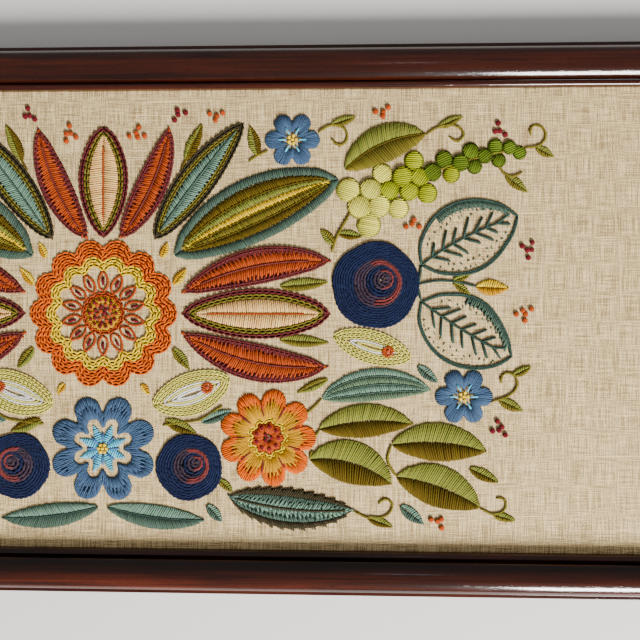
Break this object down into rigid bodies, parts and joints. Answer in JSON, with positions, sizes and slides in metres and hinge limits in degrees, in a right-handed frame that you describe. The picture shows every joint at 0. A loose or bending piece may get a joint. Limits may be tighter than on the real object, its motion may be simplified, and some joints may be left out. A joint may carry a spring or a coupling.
{
  "type": "crewel embroidery panel in a wooden frame",
  "caption": "Wide linen panel worked in crewel wool with a garland of flowers, leaves and berries, stretched in a moulded, mitred dark wooden frame, lying face up.",
  "frame": {"origin": "middle of the frame's flat back, on the surface that the panel lies on", "axes": "+X towards the right edge of the stitched face, +Y towards its top edge, +Z out of the stitched face, away from the surface"},
  "size_m": [0.8, 0.36, 0.022],
  "materials": {
    "frame_wood": "dark red-brown, high-gloss varnish",
    "linen": "plain-woven natural linen, slubbed, matte",
    "wool_brown_green": "crewel wool stitching, matte with a soft sheen",
    "wool_cream": "crewel wool stitching, matte with a soft sheen",
    "wool_grey_green": "crewel wool stitching, matte with a soft sheen",
    "wool_lime": "crewel wool stitching, matte with a soft sheen",
    "wool_maroon": "crewel wool stitching, matte with a soft sheen",
    "wool_navy": "crewel wool stitching, matte with a soft sheen",
    "wool_olive": "crewel wool stitching, matte with a soft sheen",
    "wool_orange": "crewel wool stitching, matte with a soft sheen",
    "wool_peach": "crewel wool stitching, matte with a soft sheen",
    "wool_sage": "crewel wool stitching, matte with a soft sheen",
    "wool_slate_blue": "crewel wool stitching, matte with a soft sheen",
    "wool_teal": "crewel wool stitching, matte with a soft sheen"
  },
  "bodies": {
    "root": {"berry_spray_left": "wool_lime", "berry_spray_right": "wool_lime", "brown_leaf_left": "wool_brown_green", "brown_leaf_right": "wool_brown_green", "cream_bud_inner_left": "wool_cream", "cream_bud_inner_right": "wool_cream", "cream_bud_outer_left": "wool_cream", "cream_bud_outer_right": "wool_cream", "crest_petal_left": "wool_maroon", "crest_petal_middle": "wool_peach", "crest_petal_right": "wool_maroon", "daisy_left": "wool_orange", "daisy_right": "wool_orange", "foot_leaf_left": "wool_teal", "foot_leaf_right": "wool_teal", "great_bloom": "wool_orange", "grey_leaf_left": "wool_grey_green", "grey_leaf_right": "wool_grey_green", "linen": "linen", "olive_leaf_a_left": "wool_olive", "olive_leaf_a_right": "wool_olive", "olive_leaf_b_left": "wool_olive", "olive_leaf_b_right": "wool_olive", "olive_leaf_c_left": "wool_olive", "olive_leaf_c_right": "wool_olive", "olive_leaf_d_left": "wool_olive", "olive_leaf_d_right": "wool_olive", "rail_bottom": "frame_wood", "rail_left": "frame_wood", "rail_right": "frame_wood", "rail_top": "frame_wood", "rose_lower_left": "wool_navy", "rose_lower_right": "wool_navy", "rose_upper_left": "wool_navy", "rose_upper_right": "wool_navy", "serrated_leaf_left": "wool_teal", "serrated_leaf_right": "wool_teal", "small_star_lower_left": "wool_slate_blue", "small_star_lower_right": "wool_slate_blue", "small_star_upper_left": "wool_slate_blue", "small_star_upper_right": "wool_slate_blue", "spray_leaf_left": "wool_sage", "spray_leaf_right": "wool_sage", "star_flower": "wool_slate_blue", "striped_leaf_left": "wool_sage", "striped_leaf_right": "wool_sage", "tulip_petal_lower_left": "wool_maroon", "tulip_petal_lower_right": "wool_maroon", "tulip_petal_middle_left": "wool_peach", "tulip_petal_middle_right": "wool_peach", "tulip_petal_upper_left": "wool_maroon", "tulip_petal_upper_right": "wool_maroon", "veined_leaf_lower_left": "wool_grey_green", "veined_leaf_lower_right": "wool_grey_green", "veined_leaf_upper_left": "wool_grey_green", "veined_leaf_upper_right": "wool_grey_green"}
  },
  "joints": []
}
